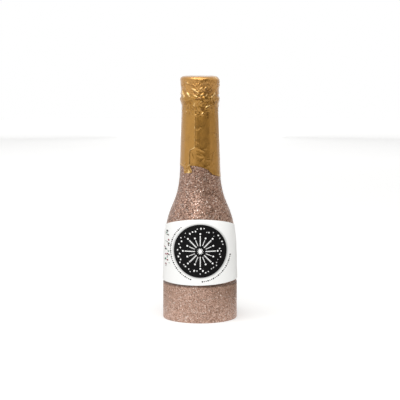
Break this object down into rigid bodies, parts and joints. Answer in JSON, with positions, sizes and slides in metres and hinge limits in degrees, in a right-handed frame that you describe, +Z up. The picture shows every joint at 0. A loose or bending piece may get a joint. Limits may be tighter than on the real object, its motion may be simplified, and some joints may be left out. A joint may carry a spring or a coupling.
{
  "type": "confetti popper bottle",
  "caption": "Twist-base compressed-air confetti popper shaped like a small champagne bottle, with foiled neck, arched label and glittered shell.",
  "frame": {"origin": "middle of the underside, on the surface the bottle stands on", "axes": "+Z up along the bottle's axis to the mouth, -Y to the front with the label"},
  "size_m": [0.072, 0.0716, 0.2321],
  "materials": {
    "shell_glitter": "rose-gold glitter coat, thick flakes",
    "base_glitter": "rose-gold glitter coat, thick flakes",
    "sticker_paper": "matt printed paper",
    "cam_plastic": "moulded acetal, natural",
    "ring_plastic": "moulded acetal, natural",
    "label_paper": "coated white label paper",
    "sleeve_foil": "gold-coated foil, crumpled",
    "head_foil": "gold-coated foil, crumpled",
    "cap_plastic": "moulded polyethylene",
    "tube_card": "spiral-wound board",
    "breech_plastic": "moulded nylon",
    "pin_steel": "drawn steel",
    "wad_felt": "pressed wool felt",
    "disc_card": "greyboard",
    "gold_slips": "metallised film slips",
    "rose_slips": "metallised film slips",
    "white_slips": "tissue slips",
    "cylinder_aluminium": "deep-drawn, satin",
    "carrier_plastic": "moulded acetal, natural",
    "seat_plastic": "moulded acetal, natural",
    "valve_brass": "turned brass",
    "seal_rubber": "nitrile rubber",
    "retainer_plastic": "moulded nylon",
    "poppet_steel": "turned steel",
    "spring_steel": "spring wire"
  },
  "bodies": {
    "bottle": {"bottle_shell": "shell_glitter", "retaining_ring": "ring_plastic", "paper_label": "label_paper", "foil_sleeve": "sleeve_foil", "launch_tube": "tube_card", "breech_block": "breech_plastic", "depressor_pin": "pin_steel", "return_spring": "spring_steel"},
    "base": {"twist_base": "base_glitter", "underside_sticker": "sticker_paper", "cam_ring": "cam_plastic"},
    "cartridge": {"air_cylinder": "cylinder_aluminium", "cylinder_carrier": "carrier_plastic", "spring_seat": "seat_plastic", "valve_body": "valve_brass", "nozzle_o_ring": "seal_rubber", "spring_retainer": "retainer_plastic", "valve_spring": "spring_steel"},
    "poppet": {"valve_poppet": "poppet_steel", "valve_washer": "seal_rubber"},
    "load": {"pusher_wad": "wad_felt", "cover_disc": "disc_card", "gold_slips_lower": "gold_slips", "gold_slips_upper": "gold_slips", "rose_slips_lower": "rose_slips", "rose_slips_upper": "rose_slips", "white_slips_lower": "white_slips", "white_slips_upper": "white_slips"},
    "cap": {"mouth_cap": "cap_plastic", "foil_head": "head_foil"}
  },
  "joints": [
    {"name": "base_twist", "type": "hinge", "parent": "bottle", "child": "base", "pos_m": [0, 0, 0], "axis": [0, 0, 1], "range_deg": [0, 60]},
    {"name": "cartridge_lift", "type": "slide", "parent": "bottle", "child": "cartridge", "axis": [0, 0, 1], "range_m": [0, 0.0041], "deforming": ["return_spring"]},
    {"name": "poppet_press", "type": "slide", "parent": "cartridge", "child": "poppet", "axis": [0, 0, 1], "range_m": [-0.0041, 0], "deforming": ["valve_spring"]},
    {"name": "load_launch", "type": "slide", "parent": "bottle", "child": "load", "axis": [0, 0, 1], "range_m": [0, 0.112]},
    {"name": "cap_pop", "type": "slide", "parent": "bottle", "child": "cap", "axis": [0, 0, 1], "range_m": [0, 0.16]}
  ],
  "couplings": [
    {"joint": "cartridge_lift", "follows": "base_twist", "m_per_rad": 0.0038197},
    {"joint": "poppet_press", "follows": "base_twist", "m_per_rad": -0.0038197},
    {"joint": "cap_pop", "follows": "load_launch", "ratio": 1.4}
  ]
}
